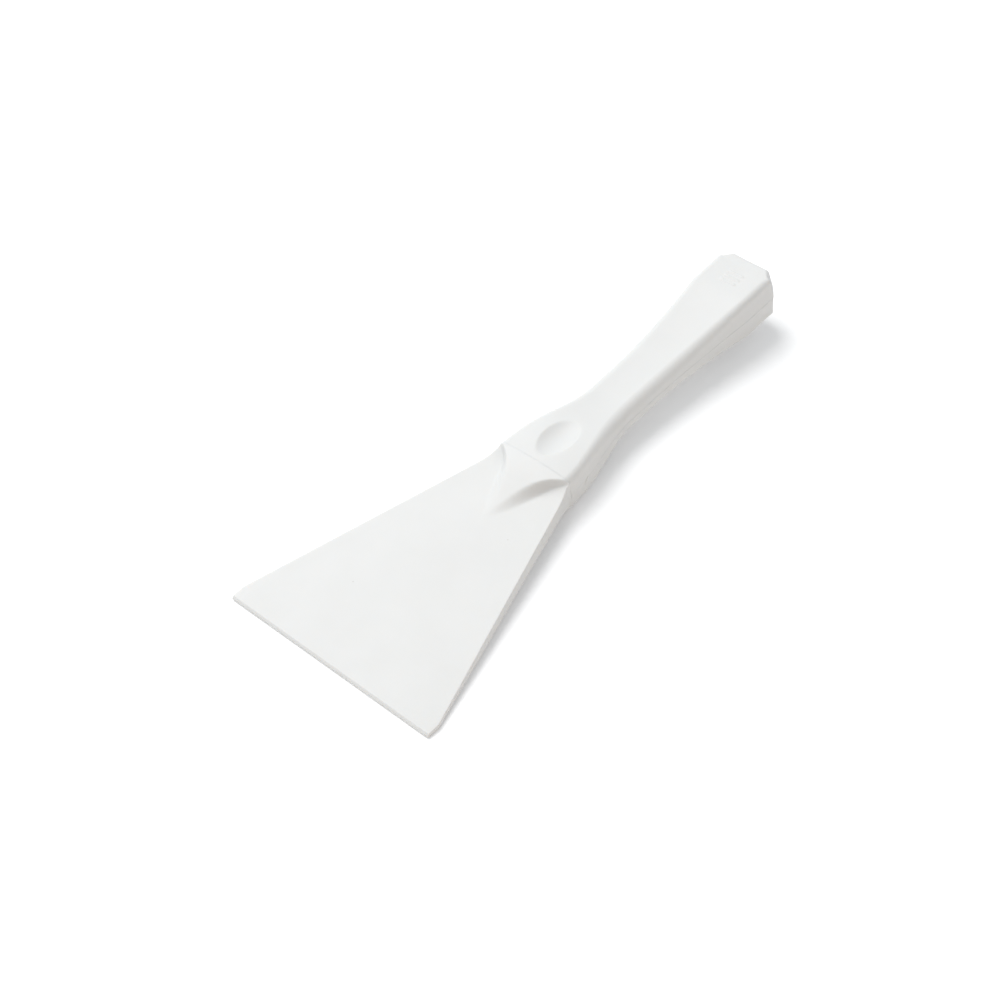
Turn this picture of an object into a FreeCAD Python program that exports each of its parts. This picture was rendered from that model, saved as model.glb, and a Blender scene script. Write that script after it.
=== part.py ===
import FreeCAD, Part
import math
import os

# Hand scraper: a fan blade tanged into a hollow two-shell handle. Millimetres.
# Tool frame: Y runs from the cutting edge (Y = 0) to the butt, X runs across the blade,
# Z runs through the thickness, and Z = 0 is the middle plane. The finished pieces are then
# laid down as the tool rests: on the heel of its edge bevel and the underside of its bolster.

overall_length = 241.2
blade_width = 102.0
seam_y = 112.0            # the blade's shoulder, where the two shells begin

# Blade
land_length = 5.8         # the sides run straight back this far before they taper
root_half_width = 17.0    # at the seam
bevel_length = 0.9
edge_half_thickness = 0.15
tip_half_thickness = 0.87
root_half_thickness = 3.33

# Prow: the ridge that fans out and climbs from the blade to the bolster
prow_start_y = 84.0
prow_start_half_width = 0.8
prow_fan = 10.8           # its half width grows by this much, evenly,
prow_flare = 6.4          # and by this much more in a flare just before the seam
flank_least = 0.9         # half width of the slope down either side
flank_swell = 11.0
sweep_start_y = 102.0     # from here the whole blade sweeps up into the bolster,
sweep_rise = 3.1          # by this much at the seam
prow_sections = 28
prow_crowding = 1.4       # the sections draw closer together towards the seam
prow_columns = 48

# Handle, half sizes at its three regions
bolster_half_width = 17.6
bolster_half_height = 8.75
neck_half_width = 11.0
neck_half_height = 5.65
butt_half_width = 13.8
butt_half_height = 9.55
flare_corner_y = 220.0    # the flare of the grip ends here and the butt runs parallel
side_draft = 0.055        # each side leans in by this much per millimetre from the seam
least_corner_radius = 2.6
most_corner_radius = 4.2
bolster_crown = 0.8       # the bolster's top is this much higher in its middle
grip_dish = 0.25          # the grip's top is this much lower in its middle
butt_cut_x = 9.5          # each corner of the butt is cut from here on the end face
butt_cut_length = 4.85    # to this far forward on the side
butt_lean = 0.15          # the end and the cuts lean in by this much per millimetre from the seam
butt_round_radius = 2.0   # of the edges round the end face and the cut corners

# Thumb dimple, on both faces of the bolster
dimple_y = 127.5
dimple_half_width = 7.3
dimple_half_length = 12.5
dimple_depth = 2.2

# Hollow of the handle and the joint between the shells
wall = 1.8
hollow_start_y = 123.0
tongue_outer_inset = 0.6
tongue_inner_inset = 1.2
tongue_height = 0.7
tongue_start_y = 114.5
tongue_end_y = 232.0
fit_clearance = 0.05
station_spacing = 4.5     # of the handle's sections along Y

# Tenon, tang and dowels
tenon_half_width = 10.0
tenon_half_height = 4.0
tenon_length = 8.0
tang_end_y = 160.0
tang_front_half_width = 6.5
tang_end_half_width = 4.5
tang_half_thickness = 1.8
saddle_length = 6.0
saddle_centres_y = (138.0, 154.0)
dowel_radius = 1.75
front_dowel_y = 116.2
front_dowel_half_length = 6.0
rear_dowel_y = 154.0
rear_dowel_half_length = 4.0

# Plain raised bars on the butt's upper face
bar_count = 3
bar_length = 7.0
bar_width = 0.9
bar_height = 0.25
bar_spacing = 2.6
bars_y = 228.0


def vector(x, y, z):
    return FreeCAD.Vector(x, y, z)


def smooth_step(t):
    t = min(max(t, 0.0), 1.0)
    return t * t * (3.0 - 2.0 * t)


def blade_half_width(y):
    taper = (blade_width / 2.0 - root_half_width) / (seam_y - land_length)
    return blade_width / 2.0 - taper * max(y - land_length, 0.0)


def blade_half_thickness(y):
    return tip_half_thickness + (root_half_thickness - tip_half_thickness) * y / seam_y


def half_width(y):
    bolster = (bolster_half_width - neck_half_width) * (1.0 - smooth_step((y - 112.0) / 42.0))
    flare = max(y - 160.0, 0.0) / (flare_corner_y - 160.0)
    return neck_half_width + bolster + (butt_half_width - neck_half_width) * min(flare, 1.0) ** 1.8


def half_height(y):
    bolster = (bolster_half_height - neck_half_height) * (1.0 - smooth_step((y - 121.0) / 33.0))
    flare = max(y - 172.0, 0.0) / (flare_corner_y - 172.0)
    return neck_half_height + bolster + (butt_half_height - neck_half_height) * min(flare, 1.0) ** 1.6


def corner_radius(y):
    thickness = (half_height(y) - neck_half_height) / (butt_half_height - neck_half_height)
    return most_corner_radius + (least_corner_radius - most_corner_radius) * thickness


def top_crown(y):
    return bolster_crown - (bolster_crown + grip_dish) * smooth_step((y - 116.0) / 24.0)


def handle_section(y, inset):
    """Closed outline of the handle at Y, drawn in from the outside by the inset."""
    width = half_width(y) - inset
    height = half_height(y) - inset
    radius = max(corner_radius(y) - inset, 0.5)
    edge_height = height - top_crown(y)
    side_top = edge_height - radius
    side_x = width - side_draft * side_top
    top_x = side_x - radius
    mid_x = side_x - radius * (1.0 - math.cos(math.pi / 4.0))
    mid_z = edge_height - radius * (1.0 - math.sin(math.pi / 4.0))
    crown_pole = 2.0 * height - edge_height
    edges = []
    for turn in (1.0, -1.0):
        low = vector(turn * width, y, 0.0)
        side = vector(turn * side_x, y, turn * side_top)
        arc_mid = vector(turn * mid_x, y, turn * mid_z)
        top = vector(turn * top_x, y, turn * edge_height)
        far_top = vector(-turn * top_x, y, turn * edge_height)
        far_mid = vector(-turn * mid_x, y, turn * mid_z)
        far_side = vector(-turn * side_x, y, turn * side_top)
        far_low = vector(-turn * width, y, 0.0)
        face = Part.BezierCurve()
        face.setPoles([top, vector(0.0, y, turn * crown_pole), far_top])
        edges.append(Part.LineSegment(low, side).toShape())
        edges.append(Part.Arc(side, arc_mid, top).toShape())
        edges.append(face.toShape())
        edges.append(Part.Arc(far_top, far_mid, far_side).toShape())
        edges.append(Part.LineSegment(far_side, far_low).toShape())
    return Part.Wire(edges)


def handle_loft(start_y, end_y, inset):
    """Solid of the handle's outline between two stations, parallel behind the flare's corner."""
    front_end = min(end_y, flare_corner_y)
    steps = round((front_end - start_y) / station_spacing)
    stations = [start_y + (front_end - start_y) * i / steps for i in range(steps + 1)]
    solid = Part.makeLoft([handle_section(y, inset) for y in stations], True, False)
    if end_y > flare_corner_y:
        butt = [handle_section(y, inset) for y in (flare_corner_y, end_y)]
        solid = solid.fuse(Part.makeLoft(butt, True, True))
    return solid


def box(x_half, start_y, end_y, low_z, high_z):
    corner = vector(-x_half, start_y, low_z)
    return Part.makeBox(2.0 * x_half, end_y - start_y, high_z - low_z, corner)


def bolster_fall(x):
    """How far the bolster's top at the seam has fallen at X: a shallow crown, then a round corner."""
    radius = corner_radius(seam_y)
    side_top = bolster_half_height - bolster_crown - radius
    top_x = bolster_half_width - side_draft * side_top - radius
    past_top = max(abs(x) - top_x, 0.0)
    corner = radius - math.sqrt(max(radius ** 2 - past_top ** 2, 0.0))
    return bolster_crown * min(abs(x) / top_x, 1.0) ** 2 + corner


def prow_height(x, y):
    """Height of the blade's face over the prow: the flat blade and the ridge that climbs from it."""
    t = (y - prow_start_y) / (seam_y - prow_start_y)
    sweep = max(y - sweep_start_y, 0.0) / (seam_y - sweep_start_y)
    level = blade_half_thickness(y) + sweep_rise * sweep ** 2
    crest = blade_half_thickness(y)
    crest += (bolster_half_height - crest) * 0.5 * (t + smooth_step(t))
    crest -= smooth_step(t) ** 4 * bolster_fall(x)
    foot = prow_start_half_width + prow_fan * t + prow_flare * t ** 8
    flank = flank_least + flank_swell * t * (1.0 - t) ** 1.6
    share = 1.0 - smooth_step((abs(x) - foot + flank) / (2.0 * flank))
    return level + max(crest - level, 0.0) * share


def rectangle(y, x_half, z_half):
    """Corners of a rectangle across the tool at Y."""
    points = [(x_half, -z_half), (x_half, z_half), (-x_half, z_half), (-x_half, -z_half)]
    return [vector(x, y, z) for x, z in points]


def flat_face(corners):
    return Part.Face(Part.makePolygon(corners + corners[:1]))


def flat_sided_solid(outlines):
    """Solid whose faces are all planes, through a row of outlines with matching corners."""
    faces = [flat_face(outlines[0]), flat_face(outlines[-1])]
    for near, far in zip(outlines, outlines[1:]):
        for i in range(len(near)):
            j = (i + 1) % len(near)
            faces.append(flat_face([near[i], near[j], far[j], far[i]]))
    return Part.Solid(Part.Shell(faces))


def with_mirror_image(upper_half):
    """Join a solid that stands on the middle plane to its reflection below the plane."""
    return upper_half.fuse(upper_half.mirror(vector(0.0, 0.0, 0.0), vector(0.0, 0.0, 1.0)))


def blade_plate():
    """Flat wedge from the bevelled edge back to the start of the prow."""
    sections = [rectangle(0.0, blade_half_width(0.0), edge_half_thickness)]
    for y in (bevel_length, land_length, prow_start_y):
        sections.append(rectangle(y, blade_half_width(y), blade_half_thickness(y)))
    return flat_sided_solid(sections)


def prow_section(y):
    """Outline of the blade at Y: two curved faces joined by upright sides."""
    xs = [blade_half_width(y) * (2.0 * i / prow_columns - 1.0) for i in range(prow_columns + 1)]
    top = Part.BSplineCurve()
    top.interpolate([vector(-x, y, prow_height(x, y)) for x in xs])
    bottom = Part.BSplineCurve()
    bottom.interpolate([vector(x, y, -prow_height(x, y)) for x in xs])
    right_side = Part.LineSegment(bottom.EndPoint, top.StartPoint)
    left_side = Part.LineSegment(top.EndPoint, bottom.StartPoint)
    return Part.Wire([curve.toShape() for curve in (top, left_side, bottom, right_side)])


def prow():
    """The blade from the start of the prow to the seam."""
    sections = []
    for i in range(prow_sections + 1):
        ahead = (seam_y - prow_start_y) * (1.0 - i / prow_sections) ** prow_crowding
        sections.append(prow_section(seam_y - ahead))
    return Part.makeLoft(sections, True, False)


def tang(clearance):
    """Stub tenon and tapering tang, grown by the clearance."""
    tenon_end = seam_y + tenon_length + clearance
    tenon = box(tenon_half_width + clearance, seam_y - 1.0, tenon_end, -tenon_half_height - clearance,
                tenon_half_height + clearance)
    ends = ((seam_y, tang_front_half_width), (tang_end_y + clearance, tang_end_half_width))
    sections = [rectangle(y, x + clearance, tang_half_thickness + clearance) for y, x in ends]
    return tenon.fuse(flat_sided_solid(sections))


def dowel(y, half_length):
    return Part.makeCylinder(dowel_radius, 2.0 * half_length, vector(0.0, y, -half_length))


def dowels():
    return dowel(front_dowel_y, front_dowel_half_length), dowel(rear_dowel_y, rear_dowel_half_length)


def make_blade():
    body = blade_plate().fuse([prow(), tang(0.0)]).removeSplitter()
    for pin in dowels():
        body = body.cut(pin)
    return body


def dimple(growth):
    """Shallow oval bowl sunk into the bolster's upper face, grown by that much all over."""
    ball_radius = (dimple_half_width ** 2 + dimple_depth ** 2) / (2.0 * dimple_depth)
    ball = Part.makeSphere(ball_radius + growth)
    stretch = FreeCAD.Matrix()
    stretch.scale(1.0, dimple_half_length / dimple_half_width, 1.0)
    bowl = ball.transformGeometry(stretch)
    bowl.translate(vector(0.0, dimple_y, bolster_half_height - dimple_depth + ball_radius))
    return bowl


def butt_envelope(inset):
    """All of space ahead of the butt's leaning end face and cut corners, drawn in by the inset."""
    outside = bolster_half_width + 5.0
    reach = butt_half_height + 5.0
    slope = butt_cut_length / (butt_half_width - butt_cut_x)
    steepness = math.hypot(1.0, slope)
    outlines = []
    for z in (-reach, 0.0, reach):
        drawn_in = inset + butt_lean * abs(z)
        end_y = overall_length - drawn_in
        cut_x = butt_cut_x - drawn_in * (steepness - 1.0) / slope
        side_y = end_y - slope * (outside - cut_x)
        points = [(cut_x, end_y), (-cut_x, end_y), (-outside, side_y), (-outside, seam_y - 1.0)]
        points += [(outside, seam_y - 1.0), (outside, side_y)]
        outlines.append([vector(x, y, z) for x, y in points])
    return flat_sided_solid(outlines)


def handle_outside():
    reach = bolster_half_width + 5.0
    above_seam = box(reach, seam_y, overall_length, 0.0, butt_half_height + 5.0)
    half = handle_loft(seam_y, overall_length, 0.0).common(butt_envelope(0.0)).common(above_seam)
    cuts_start_y = overall_length - butt_cut_length - 3.0
    edges = []
    for edge in half.Edges:
        if edge.BoundBox.YMin > cuts_start_y and edge.BoundBox.ZMax > 1.0:
            edges.append(edge)
    half = half.makeFillet(butt_round_radius, edges)
    half = half.cut(dimple(0.0))
    return with_mirror_image(half)


def handle_hollow():
    """Inside of the handle, kept a wall away from the butt's leaning faces and the dimples."""
    hollow = handle_loft(hollow_start_y, overall_length, wall).common(butt_envelope(wall))
    bowl = dimple(wall)
    return hollow.cut([bowl, bowl.mirror(vector(0.0, 0.0, 0.0), vector(0.0, 0.0, 1.0))])


def butt_bars():
    """Plain raised bars across the butt's upper face."""
    bars = []
    for i in range(bar_count):
        y = bars_y + (i - (bar_count - 1) / 2.0) * bar_spacing
        top = butt_half_height + bar_height
        bars.append(box(bar_length / 2.0, y - bar_width / 2.0, y + bar_width / 2.0, top - 1.0, top))
    return bars


def saddles(hollow):
    """Blocks left across the hollow that carry the tang."""
    blocks = []
    for y in saddle_centres_y:
        slab = box(bolster_half_width, y - saddle_length / 2.0, y + saddle_length / 2.0,
                   -bolster_half_height, bolster_half_height)
        blocks.append(hollow.common(slab))
    return blocks


def tongue_ring(height, clearance):
    """Rib that runs round both sides of the handle inside the wall, above the seam."""
    start = tongue_start_y - clearance
    end = tongue_end_y + clearance
    ring = handle_loft(start, end, tongue_outer_inset - clearance)
    ring = ring.cut(handle_loft(start - 1.0, end + 1.0, tongue_inner_inset + clearance))
    return ring.common(box(bolster_half_width, start, end, 0.0, height))


def make_shells():
    hollow = handle_hollow()
    handle = handle_outside().cut(hollow)
    handle = handle.fuse(saddles(hollow) + butt_bars())
    handle = handle.cut(tang(fit_clearance))
    for pin in dowels():
        handle = handle.cut(pin)
    reach = bolster_half_width + 5.0
    height = butt_half_height + 5.0
    upper_half = box(reach, seam_y, overall_length + 1.0, 0.0, height)
    lower_half = box(reach, seam_y, overall_length + 1.0, -height, 0.0)
    tongue = tongue_ring(tongue_height, 0.0)
    groove = tongue_ring(tongue_height + fit_clearance, fit_clearance)
    upper = handle.common(upper_half).cut(groove)
    lower = handle.common(lower_half).fuse(tongue)
    return upper, lower


def rest_placement():
    """Lay the tool on the heel of its edge bevel and on the bolster's underside at the seam."""
    rise = bolster_half_height - blade_half_thickness(bevel_length)
    angle = math.degrees(math.atan2(rise, seam_y - bevel_length))
    return FreeCAD.Placement(vector(0.0, 0.0, 0.0), FreeCAD.Rotation(vector(1.0, 0.0, 0.0), angle))


def main():
    os.makedirs("parts", exist_ok=True)
    upper, lower = make_shells()
    front_dowel, rear_dowel = dowels()
    pieces = {
        "blade": make_blade(),
        "handle_upper_shell": upper,
        "handle_lower_shell": lower,
        "front_dowel": front_dowel,
        "rear_dowel": rear_dowel,
    }
    laid = {}
    for name, shape in pieces.items():
        shape = shape.copy()
        shape.Placement = rest_placement().multiply(shape.Placement)
        laid[name] = shape
    whole = Part.makeCompound(list(laid.values()))
    bounds = whole.optimalBoundingBox(False, False)
    for name, shape in laid.items():
        shape.translate(vector(0.0, -(bounds.YMin + bounds.YMax) / 2.0, -bounds.ZMin))
        shape.exportStep("parts/" + name + ".step")


main()
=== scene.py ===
import math

import bmesh
import bpy
from mathutils import Matrix, Vector


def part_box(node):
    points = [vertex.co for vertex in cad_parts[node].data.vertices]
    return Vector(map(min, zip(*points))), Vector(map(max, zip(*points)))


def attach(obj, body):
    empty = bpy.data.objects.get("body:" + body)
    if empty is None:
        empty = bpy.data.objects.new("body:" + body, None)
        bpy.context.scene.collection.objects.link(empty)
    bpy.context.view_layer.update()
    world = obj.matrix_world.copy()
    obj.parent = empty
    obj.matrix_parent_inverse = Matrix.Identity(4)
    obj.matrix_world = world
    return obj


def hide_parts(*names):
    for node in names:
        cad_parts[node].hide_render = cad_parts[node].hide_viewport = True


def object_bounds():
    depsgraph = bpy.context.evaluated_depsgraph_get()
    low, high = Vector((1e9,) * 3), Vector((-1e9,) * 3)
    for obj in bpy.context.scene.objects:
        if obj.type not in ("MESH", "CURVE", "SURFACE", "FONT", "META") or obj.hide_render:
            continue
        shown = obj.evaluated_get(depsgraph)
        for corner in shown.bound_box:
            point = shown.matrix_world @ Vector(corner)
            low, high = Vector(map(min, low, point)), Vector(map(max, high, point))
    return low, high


# A white moulded hand scraper lying on its edge and bolster, on a pale studio floor.
# Shapes are worked out in the tool's own frame, in millimetres: Y from the cutting edge (0)
# to the butt, X across, Z through the thickness with 0 at the middle plane. One matrix lays
# them down in the row frame, in metres.

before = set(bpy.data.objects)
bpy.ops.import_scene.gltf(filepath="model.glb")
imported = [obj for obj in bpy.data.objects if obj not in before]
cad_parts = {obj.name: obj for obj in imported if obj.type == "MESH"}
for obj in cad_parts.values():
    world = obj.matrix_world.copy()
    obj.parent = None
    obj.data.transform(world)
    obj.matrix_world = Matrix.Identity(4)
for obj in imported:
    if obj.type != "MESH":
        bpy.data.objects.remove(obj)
cad_low, cad_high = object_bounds()

MM = 0.001

# Blade
overall_length = 241.2
seam_y = 112.0              # the shells start here
blade_tip_half_width = 51.0
blade_root_half_width = 17.0
land_length = 5.8           # the sides run straight back this far before they taper
land_softness = 0.5
bevel_length = 0.9
bevel_softness = 0.03
bevel_reach = 1.0           # the bevel's softened corner is over this far behind it
edge_half_thickness = 0.15
tip_half_thickness = 0.87
root_half_thickness = 3.33
blade_edge_radius = 0.25
edge_radius_share = 0.8     # the edge's radius is at most this share of the half thickness
shoulder_flare = 0.4        # the blade's sides flare out by this much to meet the bolster,
shoulder_flare_length = 2.0     # over this length
prow_start_y = 84.0
prow_start_half_width = 0.8
prow_fan = 10.8             # the prow's half width grows by this much, evenly,
prow_flare = 6.4            # and by this much more in a flare just before the seam
prow_flare_power = 8
crown_power = 4             # how late the prow's top takes on the bolster's crown
flank_least = 0.9           # half width of the slope down either side of the prow
flank_swell = 11.0
flank_swell_power = 1.6
sweep_start_y = 102.0       # from here the whole blade sweeps up into the bolster,
sweep_rise = 3.1            # by this much at the seam
tenon_half_width = 10.0
tenon_half_height = 4.0
tenon_length = 8.0
tang_end_y = 160.0
tang_front_half_width = 6.5
tang_end_half_width = 4.5
tang_half_thickness = 1.8
tang_chamfer = 0.4

# Handle
bolster_half_width = 17.6
bolster_half_height = 8.75
narrowing_length = 42.0     # the bolster narrows to the neck over this length behind the seam
thinning_start_y = 121.0    # and thins to the neck from here,
thinning_length = 33.0      # over this length
neck_half_width = 11.0
neck_half_height = 5.65
butt_half_width = 13.8
butt_half_height = 9.55
widening_start_y = 160.0    # the grip widens from here,
thickening_start_y = 172.0  # and thickens from here,
flare_corner_y = 220.0      # both as far as here
widening_power = 1.8
thickening_power = 1.6
side_draft = 0.055
least_corner_radius = 2.6
most_corner_radius = 4.2
bolster_crown = 0.8
crown_fade_start_y = 116.0  # the crown turns into the grip's dish from here,
crown_fade_length = 24.0    # over this length
grip_dish = 0.25
butt_flattening = 0.17      # the dish is shallower by this much at the butt's end
butt_end_start_y = 232.0    # the dish and the corner radius change from here,
butt_end_length = 4.0       # over this length
butt_cut_x = 9.5            # the corner cut runs from here on the end face
butt_cut_length = 4.85      # to this far forward on the side
butt_lean = 0.15            # the end and the cuts lean in by this much per millimetre of height
lean_turn = 0.7             # radians that the outline turns through before it leans that much
butt_round_radius = 2.0
least_round_radius = 0.2    # of the inner skin's outline
least_section_radius = 0.4  # of the inner skin's sections
wall = 1.8
inner_drop_limit = 2.5      # a skin inset by this much would not be rounded off at its end
seam_groove = 0.1           # depth and half width of the hairline where the shells meet
joint_groove = 0.015        # the same where the shells meet the blade
joint_half_height = 8.0     # of the shells' front edge, roughly

# Thumb dimple, on both faces of the bolster
dimple_y = 127.5
dimple_half_width = 7.3
dimple_half_length = 12.5
dimple_depth = 2.2
dimple_rim_softness = 0.12

# Plain raised bars on the butt's upper face
bar_count = 3
bar_half_length = 3.5
bar_half_width = 0.45
bar_height = 0.22
bar_spacing = 2.6
bar_softness = 0.12
bars_y = 228.0
bars_reach = 5.0            # half the length that they are looked for in

# The gate's scar on the right-hand side of the bolster
nick_y = 121.2
nick_z = -0.8
nick_half_length = 1.5
nick_half_width = 0.4
nick_depth = 0.5
nick_reach = 2.0            # half the length that it is looked for in
nick_top = 3.0              # and the height

# Mesh density
weld_distance = 1e-7        # metres: points closer than this are one point
blade_columns = 96
blade_corner_steps = 4
blade_side_levels = (0.6, 0.0, -0.6)
bevel_stations = (0.0, 0.3, 0.6, 0.78, 0.86, 0.92, 1.0, 1.15, 1.6, 2.6, 4.2)
land_stations = (5.0, 5.4, 5.6, 5.8, 6.0, 6.2, 6.6, 7.4)
plate_start_y = 9.0
plate_spacing = 6.0
prow_spacing = 0.8
root_length = 8.0           # sections are closer together over this length before the seam
root_spacing = 0.3
root_stations = (1.0, 0.7, 0.4, 0.15)   # distances before the seam
front_stations = (0.2, 0.6)             # distances behind the seam
front_length = 1.2          # even sections of the handle start this far behind the seam
nick_start_y = 119.0
nick_end_y = 122.6
nick_spacing = 0.2
bolster_end_y = 144.0
bolster_spacing = 0.7
grip_spacing = 2.0
bars_half_span = 4.0
bar_section_spacing = 0.15
butt_spacing = 0.5
end_steps = 8
cap_rows = 8
cap_middle_share = 0.75     # of the rim's half width, taken up by the cap's middle line
top_columns = 56
corner_columns = 8
side_fractions = (0.0, 0.03, 0.06, 0.1, 0.15, 0.21, 0.28, 0.36, 0.46, 0.58, 0.72, 0.86)

# Studio
floor_gap = 0.00003         # metres under the tool
floor_half_size = 3.0
camera_heading = math.radians(49.03)     # to the left of +Y
camera_elevation = math.radians(45.83)
camera_roll = math.radians(-7.72)
camera_distance = 0.8764
camera_aim = Vector((-0.0058, 0.0967, 0.0023))   # from the tool's origin


def smooth_step(t):
    """Rises from 0 to 1 as t does, level at both ends."""
    t = min(max(t, 0.0), 1.0)
    return t * t * (3.0 - 2.0 * t)


def soft_max(a, b, softness):
    """The larger of two values, with the corner between them rounded."""
    return 0.5 * (a + b + math.sqrt((a - b) ** 2 + softness ** 2))


def soft_min(a, b, softness):
    """The smaller of two values, with the corner between them rounded."""
    return -soft_max(-a, -b, softness)


def mix(a, b, t):
    """The value that share of the way from a to b."""
    return a + (b - a) * t


def spread(start, end, spacing):
    """Even stations from start to just before end, about that far apart."""
    count = max(round((end - start) / spacing), 1)
    return [start + (end - start) * i / count for i in range(count)]


# ---------------------------------------------------------------- laying the tool down

def blade_half_thickness(y):
    """Half the thickness of the blade's plain wedge at Y."""
    return tip_half_thickness + (root_half_thickness - tip_half_thickness) * y / seam_y


def rest_matrix():
    """From the tool's frame in millimetres to the row frame in metres."""
    heel = blade_half_thickness(bevel_length)
    angle = math.atan2(bolster_half_height - heel, seam_y - bevel_length)
    blade_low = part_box("blade")[0]
    edge_reach = edge_half_thickness * math.sin(angle)
    heel_drop = heel * math.cos(angle) - bevel_length * math.sin(angle)
    origin = Vector((0.0, blade_low.y + edge_reach * MM, blade_low.z + heel_drop * MM))
    return Matrix.Translation(origin) @ Matrix.Rotation(angle, 4, "X") @ Matrix.Scale(MM, 4)


to_row = rest_matrix()


def new_mesh(name, points, faces):
    """A smooth-shaded mesh object from points in the tool's frame, with shared points welded."""
    mesh = bpy.data.meshes.new(name)
    mesh.from_pydata([to_row @ Vector(p) for p in points], [], faces)
    welded = bmesh.new()
    welded.from_mesh(mesh)
    bmesh.ops.remove_doubles(welded, verts=welded.verts, dist=weld_distance)
    bmesh.ops.dissolve_degenerate(welded, dist=weld_distance, edges=welded.edges)
    bmesh.ops.recalc_face_normals(welded, faces=welded.faces)
    welded.to_mesh(mesh)
    welded.free()
    mesh.shade_smooth()
    mesh.validate()
    mesh.update()
    obj = bpy.data.objects.new(name, mesh)
    bpy.context.scene.collection.objects.link(obj)
    return obj


# ---------------------------------------------------------------- outline of the handle

def flare_share(y, start_y):
    """How far Y is, from 0 to 1, between that start and the corner where the flare ends."""
    return min(max(y - start_y, 0.0) / (flare_corner_y - start_y), 1.0)


def half_width(y):
    """Half width of the handle at Y in its middle plane: bolster, neck and butt."""
    narrowed = smooth_step((y - seam_y) / narrowing_length)
    bolster = (bolster_half_width - neck_half_width) * (1.0 - narrowed)
    flare = flare_share(y, widening_start_y) ** widening_power
    return neck_half_width + bolster + (butt_half_width - neck_half_width) * flare


def half_height(y):
    """Half height of the handle at Y along its middle."""
    thinned = smooth_step((y - thinning_start_y) / thinning_length)
    bolster = (bolster_half_height - neck_half_height) * (1.0 - thinned)
    flare = flare_share(y, thickening_start_y) ** thickening_power
    return neck_half_height + bolster + (butt_half_height - neck_half_height) * flare


def butt_end_share(y):
    """From 0 to 1 over the last length of the handle before its end is rounded off."""
    return smooth_step((y - butt_end_start_y) / butt_end_length)


def top_crown(y):
    """How much higher the top is in its middle than at its edges; the grip's is dished."""
    dish = grip_dish - butt_flattening * butt_end_share(y)
    faded = smooth_step((y - crown_fade_start_y) / crown_fade_length)
    return bolster_crown - (bolster_crown + dish) * faded


def corner_radius(y):
    """Radius of the handle's long upper corners: larger where it is thinner."""
    thickness = (half_height(y) - neck_half_height) / (butt_half_height - neck_half_height)
    radius = mix(most_corner_radius, least_corner_radius, thickness)
    return mix(radius, butt_round_radius, butt_end_share(y))


def bolster_fall(x):
    """How far the bolster's top at the seam has fallen at X: a shallow crown, then a round corner."""
    radius = corner_radius(seam_y)
    side_top = bolster_half_height - bolster_crown - radius
    top_x = bolster_half_width - side_draft * side_top - radius
    past_top = max(abs(x) - top_x, 0.0)
    corner = radius - math.sqrt(max(radius ** 2 - past_top ** 2, 0.0))
    return bolster_crown * min(abs(x) / top_x, 1.0) ** 2 + corner


# ---------------------------------------------------------------- blade

def blade_half_width(y):
    """Half width of the fan at Y."""
    taper = (blade_tip_half_width - blade_root_half_width) / (seam_y - land_length)
    flared = smooth_step((y - seam_y + shoulder_flare_length) / shoulder_flare_length)
    past_land = soft_max(y - land_length, 0.0, land_softness)
    return blade_tip_half_width - taper * past_land + shoulder_flare * flared


def blade_level(y):
    """Height of the blade's face at Y away from its prow: bevel, wedge, sweep up to the seam."""
    level = blade_half_thickness(y)
    if y < bevel_length + bevel_reach:
        slope = (blade_half_thickness(bevel_length) - edge_half_thickness) / bevel_length
        level = soft_min(level, edge_half_thickness + slope * y, bevel_softness)
    sweep = max(y - sweep_start_y, 0.0) / (seam_y - sweep_start_y)
    return level + sweep_rise * sweep ** 2


def blade_height(x, y):
    """Height of the blade's upper face, with the ridge that fans out and climbs to the bolster."""
    level = blade_level(y)
    radius = min(blade_edge_radius, edge_radius_share * level)
    past_flat = min(max(abs(x) - blade_half_width(y) + blade_edge_radius, 0.0) / blade_edge_radius, 1.0)
    edge_fall = radius * (1.0 - math.sqrt(1.0 - past_flat ** 2))
    if y <= prow_start_y:
        return level - edge_fall
    t = (y - prow_start_y) / (seam_y - prow_start_y)
    crest = blade_half_thickness(y)
    crest += (bolster_half_height - crest) * 0.5 * (t + smooth_step(t))
    crest -= smooth_step(t) ** crown_power * bolster_fall(x)
    foot = prow_start_half_width + prow_fan * t + prow_flare * t ** prow_flare_power
    flank = flank_least + flank_swell * t * (1.0 - t) ** flank_swell_power
    share = 1.0 - smooth_step((abs(x) - foot + flank) / (2.0 * flank))
    return level - edge_fall + max(crest - level, 0.0) * share


def blade_loop(y, inset):
    """Closed outline of the blade at Y: top right to left, left side, bottom, right side."""
    outer_x = blade_half_width(y)
    edge_x = outer_x - blade_edge_radius
    top = []
    for i in range(blade_columns + 1):
        x = edge_x * (1.0 - 2.0 * i / blade_columns)
        top.append((x, y, blade_height(x, y) - inset))
    side = []
    for i in range(1, blade_corner_steps + 1):
        x = edge_x + blade_edge_radius * math.sin(math.pi / 2.0 * i / blade_corner_steps)
        side.append((x - inset, blade_height(x, y) - inset))
    reach = side[-1][1]
    side += [(outer_x - inset, reach * level) for level in blade_side_levels]
    side += [(x, -z) for x, z in reversed(side[:blade_corner_steps])]
    left = [(-x, y, z) for x, z in side]
    bottom = [(-x, y, -z) for x, y, z in top]
    right = [(x, y, z) for x, z in reversed(side)]
    return top + left + bottom + right


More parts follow.
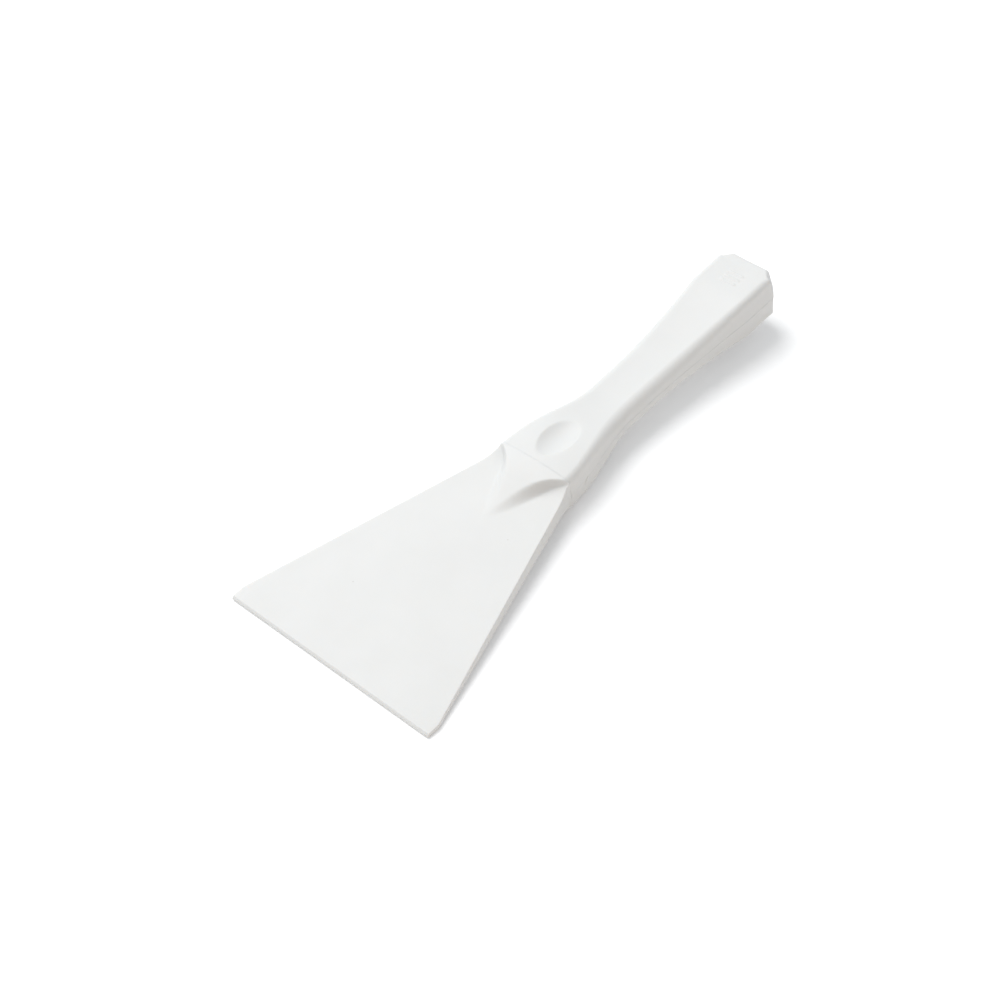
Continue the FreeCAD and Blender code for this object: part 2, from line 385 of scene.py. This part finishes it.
def tang_loop(y, side_x, top_z):
    """The same number of points on a rectangle, so that it joins the blade's outline."""
    rows = 2 * blade_corner_steps + len(blade_side_levels)
    top = [(side_x * (1.0 - 2.0 * i / blade_columns), y, top_z) for i in range(blade_columns + 1)]
    heights = [top_z * (1.0 - 2.0 * (r + 1) / (rows + 1)) for r in range(rows)]
    left = [(-side_x, y, z) for z in heights]
    bottom = [(-x, y, -z) for x, y, z in top]
    right = [(side_x, y, z) for z in reversed(heights)]
    return top + left + bottom + right


def loop_cap(start, size, points, faces, flip):
    """Close a loop that starts at that index with a grid between its top and its bottom."""
    columns = blade_columns + 1
    rows = (size - 2 * columns) // 2
    grid = [[start + i for i in range(columns)]]
    for r in range(rows):
        left = start + columns + r
        right = start + size - 1 - r
        row = [right]
        for i in range(1, columns - 1):
            t = i / (columns - 1)
            points.append(tuple(mix(a, b, t) for a, b in zip(points[right], points[left])))
            row.append(len(points) - 1)
        grid.append(row + [left])
    bottom = start + columns + rows
    grid.append([bottom + columns - 1 - i for i in range(columns)])
    for upper, lower in zip(grid, grid[1:]):
        for i in range(columns - 1):
            quad = (upper[i], upper[i + 1], lower[i + 1], lower[i])
            faces.append(quad if flip else quad[::-1])


def blade_stations():
    """Y of every section of the blade: close together at the bevel, the land and the seam."""
    stations = list(bevel_stations + land_stations)
    stations += spread(plate_start_y, prow_start_y, plate_spacing)
    stations += spread(prow_start_y, seam_y - root_length, prow_spacing)
    stations += spread(seam_y - root_length, seam_y - root_stations[0], root_spacing)
    stations += [seam_y - back for back in root_stations]
    stations.append(seam_y - joint_groove)
    return stations


def make_blade():
    """The blade with its prow, and behind the seam its tenon and tang, as one closed skin."""
    cut = tang_chamfer
    shoulder = seam_y + tenon_length
    loops = [blade_loop(y, 0.0) for y in blade_stations()]
    loops.append(blade_loop(seam_y, joint_groove))
    loops.append(tang_loop(seam_y, tenon_half_width, tenon_half_height))
    loops.append(tang_loop(shoulder - cut, tenon_half_width, tenon_half_height))
    loops.append(tang_loop(shoulder, tenon_half_width - cut, tenon_half_height - cut))
    loops.append(tang_loop(shoulder, tang_front_half_width, tang_half_thickness))
    loops.append(tang_loop(tang_end_y - cut, tang_end_half_width, tang_half_thickness))
    loops.append(tang_loop(tang_end_y, tang_end_half_width - cut, tang_half_thickness - cut))
    size = len(loops[0])
    points = [point for loop in loops for point in loop]
    faces = []
    for start in range(0, size * (len(loops) - 1), size):
        for i in range(size):
            j = (i + 1) % size
            faces.append((start + i, start + size + i, start + size + j, start + j))
    loop_cap(0, size, points, faces, True)
    loop_cap(size * (len(loops) - 1), size, points, faces, False)
    return new_mesh("blade_moulding", points, faces)


# ---------------------------------------------------------------- handle shells

def plan_outline(y, inset):
    """Half width of the middle plane's outline at Y, and the turn of its normal away from X."""
    side = half_width(y) - inset
    end_y = overall_length - inset
    slope = (butt_half_width - butt_cut_x) / butt_cut_length
    cut_turn = math.atan(slope)
    end_turn = math.pi / 2.0 - cut_turn
    radius = max(butt_round_radius - inset, least_round_radius)
    cut_x = butt_cut_x - inset * (1.0 / math.cos(cut_turn) - slope)
    first_arc_y = end_y - (side - cut_x) / slope - radius * math.tan(cut_turn / 2.0)
    last_arc_y = end_y - radius + radius * math.sin(cut_turn)
    if y <= first_arc_y:
        return side, 0.0
    if y <= first_arc_y + radius * math.sin(cut_turn):
        turn = math.asin((y - first_arc_y) / radius)
        return side - radius * (1.0 - math.cos(turn)), turn
    if y <= last_arc_y:
        return cut_x + (end_y - y) * slope, cut_turn
    turn = math.asin(min((y - end_y + radius) / radius, 1.0))
    return cut_x - radius * math.tan(end_turn / 2.0) + radius * math.cos(turn), turn


def dimple_floor(x, y, growth):
    """Height of the oval bowl sunk into the bolster, grown downwards by that much."""
    radius = (dimple_half_width ** 2 + dimple_depth ** 2) / (2.0 * dimple_depth) + growth
    stretch = dimple_half_width / dimple_half_length
    reach = x ** 2 + ((y - dimple_y) * stretch) ** 2
    centre = bolster_half_height - dimple_depth + radius - growth
    if reach >= radius ** 2:
        return centre
    return centre - math.sqrt(radius ** 2 - reach)


def bar_relief(x, y):
    """Three plain raised bars on the butt's upper face."""
    across = smooth_step((bar_half_length + bar_softness - abs(x)) / (2.0 * bar_softness))
    relief = 0.0
    for i in range(bar_count):
        centre = bars_y + (i - (bar_count - 1) / 2.0) * bar_spacing
        along = (bar_half_width + bar_softness - abs(y - centre)) / (2.0 * bar_softness)
        relief = max(relief, smooth_step(along) * across)
    return bar_height * relief


def nick_sink(y, z):
    """Depth of the slanted gate scar on the bolster's side."""
    along = ((y - nick_y) + (z - nick_z)) / math.sqrt(2.0)
    across = ((y - nick_y) - (z - nick_z)) / math.sqrt(2.0)
    reach = (along / nick_half_length) ** 4 + (across / nick_half_width) ** 2
    return nick_depth * math.exp(-reach)


def shell_section(y, inset, end_drop):
    """Half outline of the handle at Y over the top, from the right-hand seam to the left."""
    width, turn = plan_outline(y, inset)
    lean = mix(side_draft, butt_lean, smooth_step(turn / lean_turn))
    height = half_height(y) - inset - end_drop
    radius = max(corner_radius(y) - inset - end_drop, least_section_radius)
    edge_height = height - top_crown(y)
    side_top = edge_height - radius
    draft = lean * math.cos(turn)
    side_x = width - draft * side_top
    right = [(width, 0.0)]
    for f in side_fractions:
        z = mix(seam_groove, side_top, f)
        right.append((width - draft * z, z))
    for i in range(corner_columns):
        angle = math.pi / 2.0 * i / corner_columns
        right.append((side_x - radius * (1.0 - math.cos(angle)), side_top + radius * math.sin(angle)))
    top_x = side_x - radius
    top = []
    for i in range(top_columns + 1):
        x = top_x * (1.0 - 2.0 * i / top_columns)
        z = edge_height + (height - edge_height) * (1.0 - (x / top_x) ** 2)
        growth = wall if inset else 0.0
        if abs(y - dimple_y) < 2.0 * dimple_half_length:
            z = soft_min(z, dimple_floor(x, y, growth) - growth, dimple_rim_softness)
        top.append((x, z))
    left = [(-x, z) for x, z in reversed(right)]
    slip = lean * math.sin(turn)
    return [(x, y - slip * z, z) for x, z in right + top + left]


def shell_stations():
    """Y and drop of every section of the handle: close together where something small is."""
    bars_start_y = bars_y - bars_half_span
    bars_end_y = bars_y + bars_half_span
    stations = [seam_y, seam_y + joint_groove] + [seam_y + ahead for ahead in front_stations]
    stations += spread(seam_y + front_length, nick_start_y, bolster_spacing)
    stations += spread(nick_start_y, nick_end_y, nick_spacing)
    stations += spread(nick_end_y, bolster_end_y, bolster_spacing)
    stations += spread(bolster_end_y, bars_start_y, grip_spacing)
    stations += spread(bars_start_y, bars_end_y, bar_section_spacing)
    stations += spread(bars_end_y, overall_length - butt_round_radius, butt_spacing)
    pairs = [(y, 0.0) for y in stations]
    for i in range(end_steps + 1):
        angle = math.pi / 2.0 * i / end_steps
        y = overall_length - butt_round_radius * (1.0 - math.sin(angle))
        pairs.append((y, butt_round_radius * (1.0 - math.cos(angle))))
    return pairs


def shell_skin(inset):
    """Rows of points over a half handle, the last ones closing the butt."""
    rows = []
    squeeze = (overall_length - inset - seam_y) / (overall_length - seam_y)
    drop_share = 1.0 - inset / inner_drop_limit
    for y, drop in shell_stations():
        rows.append(shell_section(seam_y + (y - seam_y) * squeeze, inset, drop * drop_share))
    rim = rows[-1]
    last = len(rim) - 1
    middle_half_width = cap_middle_share * rim[0][0]
    for k in range(1, cap_rows + 1):
        t = k / cap_rows
        row = []
        for i, (x, y, z) in enumerate(rim):
            middle_x = middle_half_width * (1.0 - 2.0 * i / last)
            height = mix(z, min(z, seam_groove), t)
            row.append((mix(x, middle_x, t), y + butt_lean * (z - height), height))
        rows.append(row)
    rows.append([(x, y + butt_lean * z, 0.0) for x, y, z in rows[-1]])
    return rows


def finish_outside(rows, side):
    """Add the small relief to the outer skin: groove at the seams, gate scar and bars."""
    finished = []
    for row_index, row in enumerate(rows):
        new_row = []
        for x, y, z in row:
            if z == 0.0 and row_index > 0:
                if y < overall_length - butt_round_radius:
                    x -= math.copysign(seam_groove, x)
                else:
                    y -= seam_groove
            near_nick = abs(y - nick_y) < nick_reach and z < nick_top
            if near_nick and x > bolster_half_width / 2.0:
                x -= nick_sink(y, z * side)
            near_bars = abs(y - bars_y) < bars_reach and z > butt_half_height / 2.0
            if near_bars and side > 0:
                z += bar_relief(x, y)
            new_row.append((x, y, z * side))
        finished.append(new_row)
    x_share = 1.0 - joint_groove / bolster_half_width
    z_share = 1.0 - joint_groove / joint_half_height
    finished[0] = [(x * x_share, y, z * z_share) for x, y, z in finished[0]]
    return finished


def make_shell(name, side):
    """One half of the hollow handle: an outer skin, an inner skin and the wall between them."""
    outer = finish_outside(shell_skin(0.0), side)
    inner = [[(x, y, z * side) for x, y, z in row] for row in shell_skin(wall)]
    width = len(outer[0])
    height = len(outer)
    points = [p for row in outer for p in row] + [p for row in inner for p in row]
    offset = width * height
    faces = []

    def quad(a, b, c, d):
        """A face whose outside is the same for both halves."""
        faces.append((a, b, c, d) if side > 0 else (d, c, b, a))

    for j in range(height - 1):
        for i in range(width - 1):
            a = j * width + i
            quad(a, a + width, a + width + 1, a + 1)
            quad(offset + a, offset + a + 1, offset + a + width + 1, offset + a + width)
    border = [(j + 1) * width for j in range(height - 1)][::-1] + [0]
    border += list(range(1, width))
    border += [(j + 1) * width + width - 1 for j in range(height - 1)]
    border += [(height - 1) * width + i for i in range(width - 2, 0, -1)]
    for a, b in zip(border, border[1:] + border[:1]):
        quad(a, b, offset + b, offset + a)
    return new_mesh(name, points, faces)


# ---------------------------------------------------------------- materials

def add_node(tree, kind, values):
    """A new shader node with those values set on its inputs."""
    node = tree.nodes.new(kind)
    for name, value in values.items():
        node.inputs[name].default_value = value
    return node


def add_color_mix(tree, values):
    """A new node that mixes two colours, with those values set on its inputs."""
    node = tree.nodes.new("ShaderNodeMix")
    node.data_type = "RGBA"
    for name, value in values.items():
        node.inputs[name].default_value = value
    return node


def plastic(name, base, warm, roughness):
    """Moulded plastic: faint cloudy colour, rare specks, fine grain and slight gloss changes."""
    material = bpy.data.materials.new(name)
    material.use_nodes = True
    tree = material.node_tree
    links = tree.links
    shader = tree.nodes["Principled BSDF"]
    place = add_node(tree, "ShaderNodeTexCoord", {})

    clouds = add_node(tree, "ShaderNodeTexNoise", {"Scale": 55.0, "Detail": 3.0})
    tint = add_color_mix(tree, {"A": (*base, 1.0), "B": (*warm, 1.0)})
    links.new(place.outputs["Object"], clouds.inputs["Vector"])
    links.new(clouds.outputs["Fac"], tint.inputs["Factor"])

    cells = add_node(tree, "ShaderNodeTexVoronoi", {"Scale": 90.0})
    dot = add_node(tree, "ShaderNodeMapRange",
                   {"From Min": 0.012, "From Max": 0.03, "To Min": 0.35, "To Max": 0.0})
    specked = add_color_mix(tree, {"B": (0.25, 0.2, 0.15, 1.0)})
    links.new(place.outputs["Object"], cells.inputs["Vector"])
    links.new(cells.outputs["Distance"], dot.inputs["Value"])
    links.new(dot.outputs["Result"], specked.inputs["Factor"])
    links.new(tint.outputs["Result"], specked.inputs["A"])
    links.new(specked.outputs["Result"], shader.inputs["Base Color"])

    grain = add_node(tree, "ShaderNodeTexNoise", {"Scale": 2200.0, "Detail": 2.0})
    bump = add_node(tree, "ShaderNodeBump", {"Strength": 0.12, "Distance": 0.00005})
    links.new(place.outputs["Object"], grain.inputs["Vector"])
    links.new(grain.outputs["Fac"], bump.inputs["Height"])
    links.new(bump.outputs["Normal"], shader.inputs["Normal"])

    gloss = add_node(tree, "ShaderNodeMapRange",
                     {"To Min": roughness - 0.05, "To Max": roughness + 0.07})
    links.new(clouds.outputs["Fac"], gloss.inputs["Value"])
    links.new(gloss.outputs["Result"], shader.inputs["Roughness"])

    shader.inputs["IOR"].default_value = 1.5
    shader.inputs["Subsurface Weight"].default_value = 0.2
    shader.inputs["Subsurface Radius"].default_value = (1.0, 0.85, 0.7)
    shader.inputs["Subsurface Scale"].default_value = 0.002
    return material


def floor_material():
    """Matt white that glows a little, so that it burns out."""
    material = bpy.data.materials.new("studio_floor")
    material.use_nodes = True
    shader = material.node_tree.nodes["Principled BSDF"]
    shader.inputs["Base Color"].default_value = (0.83, 0.83, 0.83, 1.0)
    shader.inputs["Emission Color"].default_value = (1.0, 1.0, 1.0, 1.0)
    shader.inputs["Emission Strength"].default_value = 0.15
    shader.inputs["Roughness"].default_value = 1.0
    shader.inputs["Specular IOR Level"].default_value = 0.0
    return material


# ---------------------------------------------------------------- studio

def make_floor():
    """A plain sheet just under the tool."""
    half = floor_half_size
    mesh = bpy.data.meshes.new("floor")
    corners = [(-half, -half, 0.0), (half, -half, 0.0), (half, half, 0.0), (-half, half, 0.0)]
    mesh.from_pydata(corners, [], [(0, 1, 2, 3)])
    mesh.materials.append(floor_material())
    obj = bpy.data.objects.new("floor", mesh)
    bpy.context.scene.collection.objects.link(obj)
    obj.location.z = cad_low.z - floor_gap


def area_light(name, place, size, power, color):
    """A round soft light at that place, turned towards the tool."""
    data = bpy.data.lights.new(name, "AREA")
    data.shape = "DISK"
    data.size = size
    data.energy = power
    data.color = color
    light = bpy.data.objects.new(name, data)
    bpy.context.scene.collection.objects.link(light)
    light.location = place
    light.rotation_mode = "QUATERNION"
    light.rotation_quaternion = Vector(place).to_track_quat("Z", "Y")


def make_world():
    """Even, slightly cool light from all round."""
    world = bpy.data.worlds.new("studio")
    world.use_nodes = True
    background = world.node_tree.nodes["Background"]
    background.inputs["Color"].default_value = (0.93, 0.965, 1.0, 1.0)
    background.inputs["Strength"].default_value = 0.64
    bpy.context.scene.world = world


def make_camera():
    """A long lens that looks down from beyond the edge's right-hand corner, rolled a little."""
    forward = Vector((-math.sin(camera_heading) * math.cos(camera_elevation),
                      math.cos(camera_heading) * math.cos(camera_elevation),
                      -math.sin(camera_elevation)))
    level_right = Vector((math.cos(camera_heading), math.sin(camera_heading), 0.0))
    level_up = level_right.cross(forward)
    right = level_right * math.cos(camera_roll) + level_up * math.sin(camera_roll)
    up = right.cross(forward)
    data = bpy.data.cameras.new("camera")
    data.sensor_width = 36.0
    data.lens = 83.88
    camera = bpy.data.objects.new("camera", data)
    bpy.context.scene.collection.objects.link(camera)
    turn = Matrix((right, up, -forward)).transposed().to_4x4()
    place = to_row.translation + camera_aim - forward * camera_distance
    camera.matrix_world = Matrix.Translation(place) @ turn
    bpy.context.scene.camera = camera


def main():
    """Make the mouldings and let them stand for their CAD nodes, then dress the set."""
    blade = make_blade()
    upper = make_shell("upper_shell_moulding", 1.0)
    lower = make_shell("lower_shell_moulding", -1.0)
    white = plastic("white_plastic", (0.62, 0.62, 0.61), (0.6, 0.6, 0.587), 0.6)
    dowel_white = plastic("natural_plastic", (0.8, 0.79, 0.75), (0.77, 0.76, 0.71), 0.5)
    replaced = ((blade, "blade", "blade_plastic"),
                (upper, "handle_upper_shell", "handle_plastic"),
                (lower, "handle_lower_shell", "handle_plastic"))
    for piece, node, slot in replaced:
        piece.data.materials.append(white)
        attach(piece, "root")
        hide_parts(node)
    for node in ("front_dowel", "rear_dowel"):
        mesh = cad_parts[node].data
        mesh.materials.clear()
        mesh.materials.append(dowel_white)
    make_floor()
    make_world()
    area_light("key", (-0.8, 0.05, 1.35), 1.4, 25.0, (1.0, 1.0, 1.0))
    area_light("warm_fill", (0.8, -0.45, 0.16), 0.4, 1.2, (1.0, 0.66, 0.38))
    make_camera()
    bpy.context.scene.view_settings.view_transform = "Standard"


main()
